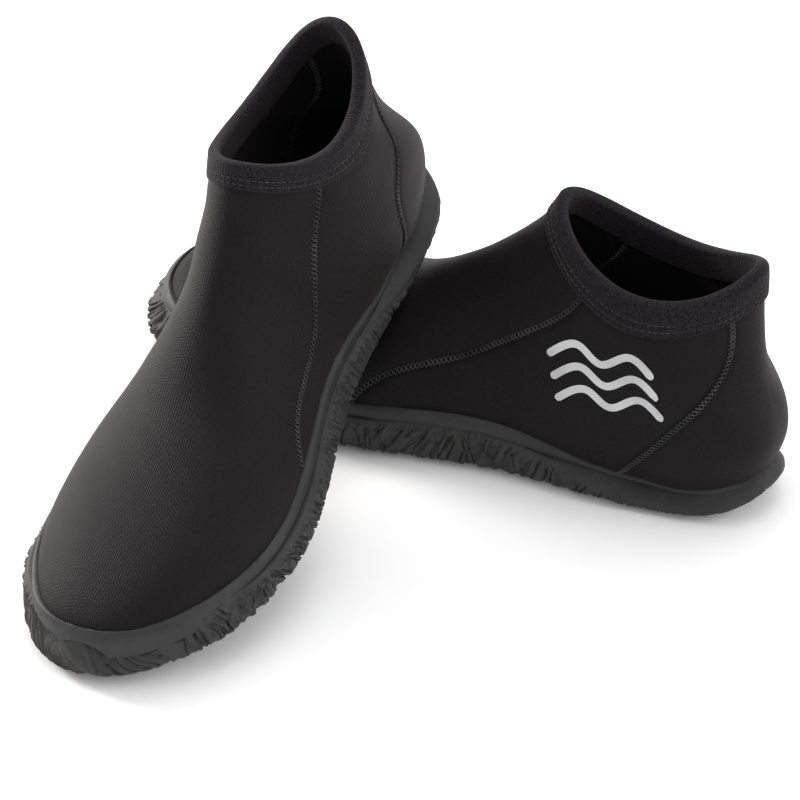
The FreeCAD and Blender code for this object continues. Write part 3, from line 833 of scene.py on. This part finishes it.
def sole(boot):
    """The rubber sole: a ridged wall, a rounded lower edge and a tread of grooves across it."""
    count = 1500
    loop, way = loop_through(OUTLINE, count)
    inward = inward_from(loop, 2)
    x = loop[:, 0]
    heights, insets, toe_insets = np.array(WALL).T
    toe_share = np.clip((x - TOE_FROM) / TOE_OVER, 0, None) ** 3
    band_foot = rim(x - TOE_BACK * toe_share) - RAND_SHOW + BAND_CUT * step(x, *BAND_CUT_ZONE)
    top = band_foot - rise(x) + SOLE_LAP
    steps = 42
    rows, under = [], []
    for share in np.linspace(0, 1, steps):
        height = top * share
        weights = spline_matrix(heights, height)
        inset = weights @ insets + toe_share * (weights @ toe_insets)
        # The ridges die out at the wall's top edge, and are lower where the wall turns under.
        ridge = bark(way, height, x) * step(top - height, 0.3, 2.8) * (0.35 + 0.65 * step(height, 0.0, 2.0))
        bulge = LIP_BULGE * bell(top - height - LIP_DOWN, LIP_HALF)
        move = inset - ridge - bulge * (1 - toe_share)
        floor_bumps = 0.5 * (1 - step(height, 0, 2.5)) * np.clip(ridge, 0, 1)
        rows.append(np.c_[loop + inward * move[:, None], height + rise(x) + floor_bumps])
    spine = np.c_[np.clip(x, *SPINE), np.full(count, SPINE_Y)]
    for share in np.linspace(0, 1, 32)[1:]:
        flat = rows[0][:, :2] * (1 - share) + spine * share
        under.append(np.c_[flat, rise(flat[:, 0])])
    last = rows[-1]
    reach = ledge_reach(last)
    shoulder = (RAND_SHOW - SHOULDER_LESS) * (1 - step(x, *SHOULDER_ZONE))
    for share in (0.08, 0.2, 0.4, 0.62, 0.82, 1.0):
        lift = 0.4 * min(1, share * 8) + shoulder * sin(share * pi / 2)
        rows.append(last + np.c_[inward * (reach * share)[:, None], lift])
    points = np.stack(under[::-1] + rows)
    groove_at = np.arange(FIRST_GROOVE, LAST_GROOVE, TREAD_PITCH)
    near = np.abs(points[..., 0][..., None] - groove_at).min(-1)
    depth = TREAD_DEPTH * (1 - step(near, TREAD_WIDTH / 2 - TREAD_ROUND, TREAD_WIDTH / 2 + TREAD_ROUND))
    points[..., 2] = np.maximum(points[..., 2], rise(points[..., 0]) + depth)
    points = np.concatenate([points, points[:, :1]], axis=1)
    faces = grid_faces(*points.shape[:2])[:, ::-1]
    piece = make_mesh(f"{boot}_rubber_sole", boot, points.reshape(-1, 3), faces, SOLE_RUBBER, None, 70)
    declare(piece, boot, ["outsole"])


def footbed(boot, name, node, slot, inset, low, high, dish, fill=None):
    """A flat piece inside the sole: the bottom panel, or the foam insole with its edges turned up."""
    loop, _ = loop_through(OUTLINE, 260)
    edge = loop + inward_from(loop, 1) * inset
    spine = np.c_[np.clip(edge[:, 0], *SPINE), np.full(len(edge), SPINE_Y)]
    top, bottom = [], []
    for share in np.linspace(0, 1, 22):
        flat = edge * (1 - share) + spine * share
        turn_up = dish * (1 - step(share, 0, 0.45)) ** 2
        soft = 0.15 * noise(flat[:, 0] / 14, flat[:, 1] / 14, 8)
        top.append(np.c_[flat, rise(flat[:, 0]) + high + turn_up + soft * (dish > 0)])
        bottom.append(np.c_[flat, rise(flat[:, 0]) + low + turn_up])
    points = np.stack(bottom[::-1] + top)
    points = np.concatenate([points, points[:, :1]], axis=1)
    uv = points[..., :2].reshape(-1, 2)
    faces = grid_faces(*points.shape[:2])
    piece = make_mesh(f"{boot}_{name}", boot, points.reshape(-1, 3), faces, INSOLE_CLOTH, uv, 50)
    declare(piece, boot, [node])


def printed_waves(boot):
    """Three pale waves on the outer quarter."""
    rows, faces = clip(GRID, GRID_FACES, GRID[:, 1])
    x, z = rows[:, 0], rows[:, 2]
    off_x, off_z = np.abs(x - WAVE_CENTRE[0]), np.abs(z - WAVE_CENTRE[1])
    near = (off_x < WAVE_REACH[0]) & (off_z < WAVE_REACH[1])
    far = 9.0
    value = np.full(len(rows), -far)
    fine = curve_through(WAVE, 40)
    best = np.full(near.sum(), far)
    for number in (-1, 0, 1):
        line = fine + (WAVE_CENTRE[0] + WAVE_SHIFT * number, WAVE_CENTRE[1] + WAVE_SPACING * number)
        line[:, 1] += WAVE_SLOPE * fine[:, 0]
        best = np.minimum(best, np.abs(signed_distance(x[near], z[near], line)))
    value[near] = WAVE_HEIGHT / 2 - best
    rows, faces = clip(rows, faces, value)
    out = cloth_depth(rows)
    points, faces = thick(rows, faces, out + INK_THICK, out - INK_SINK)
    piece = make_mesh(f"{boot}_printed_mark", boot, points, faces, PRINT_INK)
    declare(piece, boot, ["printed_waves"])


def make_boot(boot):
    """All sixteen pieces of one boot."""
    for node, cuts in PANELS.items():
        rows, faces = panel_patch(cuts)
        out = cloth_depth(rows)
        points, closed = thick(rows, faces, out, np.full(len(rows), -NEOPRENE))
        uv = np.vstack([rows[:, 6:8], rows[:, 6:8]])
        piece = make_mesh(f"{boot}_{node}_cloth", boot, points, closed, NEOPRENE_CLOTH, uv, 60)
        declare(piece, boot, [node])
    for kind in ("vamp", "heel"):
        for where in ("outer", "inner"):
            points, faces = seam_stitches(kind, where)
            piece = make_mesh(f"{boot}_{where}_{kind}_stitches", boot, points, faces, THREAD)
            declare(piece, boot, [f"{where}_{kind}_seam"])
    binding(boot)
    for number, drop in enumerate(STITCH_ROWS, start=1):
        collar_row(boot, number, drop)
    rand(boot)
    sole(boot)
    footbed(boot, "bottom_board", "bottom_panel", "board", inset=15, low=5.4, high=8.2, dish=0.0)
    foam = {"inset": 8.5, "low": 8.6, "high": INSOLE_TOP, "dish": 2.5, "fill": 1.0}
    footbed(boot, "foam_insole", "insole", "insole_foam", **foam)
    printed_waves(boot)


for boot_name in ("left", "right"):
    make_boot(boot_name)


# ------------------------------------------------------------------ floor, light and camera

floor_mesh = bpy.data.meshes.new("floor")
FLOOR_HALF = 6.0
FLOOR_HEIGHT = -0.0002  # just under the soles, so that the two faces never share a plane
floor_mesh.from_pydata(
    [(x * FLOOR_HALF, y * FLOOR_HALF, FLOOR_HEIGHT) for x, y in ((-1, -1), (1, -1), (1, 1), (-1, 1))],
    [],
    [(0, 1, 2, 3)],
)
floor = bpy.data.objects.new("floor", floor_mesh)
floor.data.materials.append(FLOOR_PAINT)
bpy.context.scene.collection.objects.link(floor)

AZIMUTH, ELEVATION, ROLL = radians(203.76), radians(37.3), radians(2.26)
TARGET, DISTANCE, LENS = Vector((0.0455, 0.0294, 0.0172)), 2.613, 279.1
away = Vector((sin(AZIMUTH) * cos(ELEVATION), -cos(AZIMUTH) * cos(ELEVATION), sin(ELEVATION)))
right = Vector((cos(AZIMUTH), sin(AZIMUTH), 0))
above = away.cross(right)


def from_camera(side, height, back):
    """A place given by how far it is to the right of the object, above it and towards the camera."""
    flat = Vector((away.x, away.y, 0)).normalized()
    return TARGET + right * side + Vector((0, 0, height)) + flat * back


camera = bpy.data.objects.new("camera", bpy.data.cameras.new("camera"))
camera.data.lens, camera.data.sensor_width = LENS, 36.0
camera.data.clip_end = 50.0
axis_x = right * cos(ROLL) + above * sin(ROLL)
axis_y = above * cos(ROLL) - right * sin(ROLL)
turned = Matrix((axis_x, axis_y, away)).transposed()
camera.matrix_world = Matrix.Translation(TARGET + away * DISTANCE) @ turned.to_4x4()
bpy.context.scene.collection.objects.link(camera)
bpy.context.scene.camera = camera


def softbox(name, where, size, power, colour=(1, 1, 1)):
    """A square lamp that faces the object."""
    lamp = bpy.data.lights.new(name, "AREA")
    lamp.shape, lamp.size, lamp.energy, lamp.color = "SQUARE", size, power, colour
    box = bpy.data.objects.new(name, lamp)
    box.location = where
    box.rotation_euler = (TARGET - where).to_track_quat("-Z", "Y").to_euler()
    bpy.context.scene.collection.objects.link(box)


softbox("key", from_camera(-1.85, 0.75, -0.95), size=0.7, power=68.0, colour=(1.0, 0.965, 0.945))
softbox("top", from_camera(0.3, 2.2, -0.6), size=1.4, power=13.0)
softbox("fill", from_camera(1.9, 1.1, 0.4), size=1.2, power=14.0, colour=(0.98, 0.98, 1.0))

world = bpy.data.worlds.new("studio")
world.use_nodes = True
world.node_tree.nodes["Background"].inputs["Color"].default_value = (1, 1, 1, 1)
world.node_tree.nodes["Background"].inputs["Strength"].default_value = 1.02
bpy.context.scene.world = world
bpy.context.scene.view_settings.view_transform = "Standard"
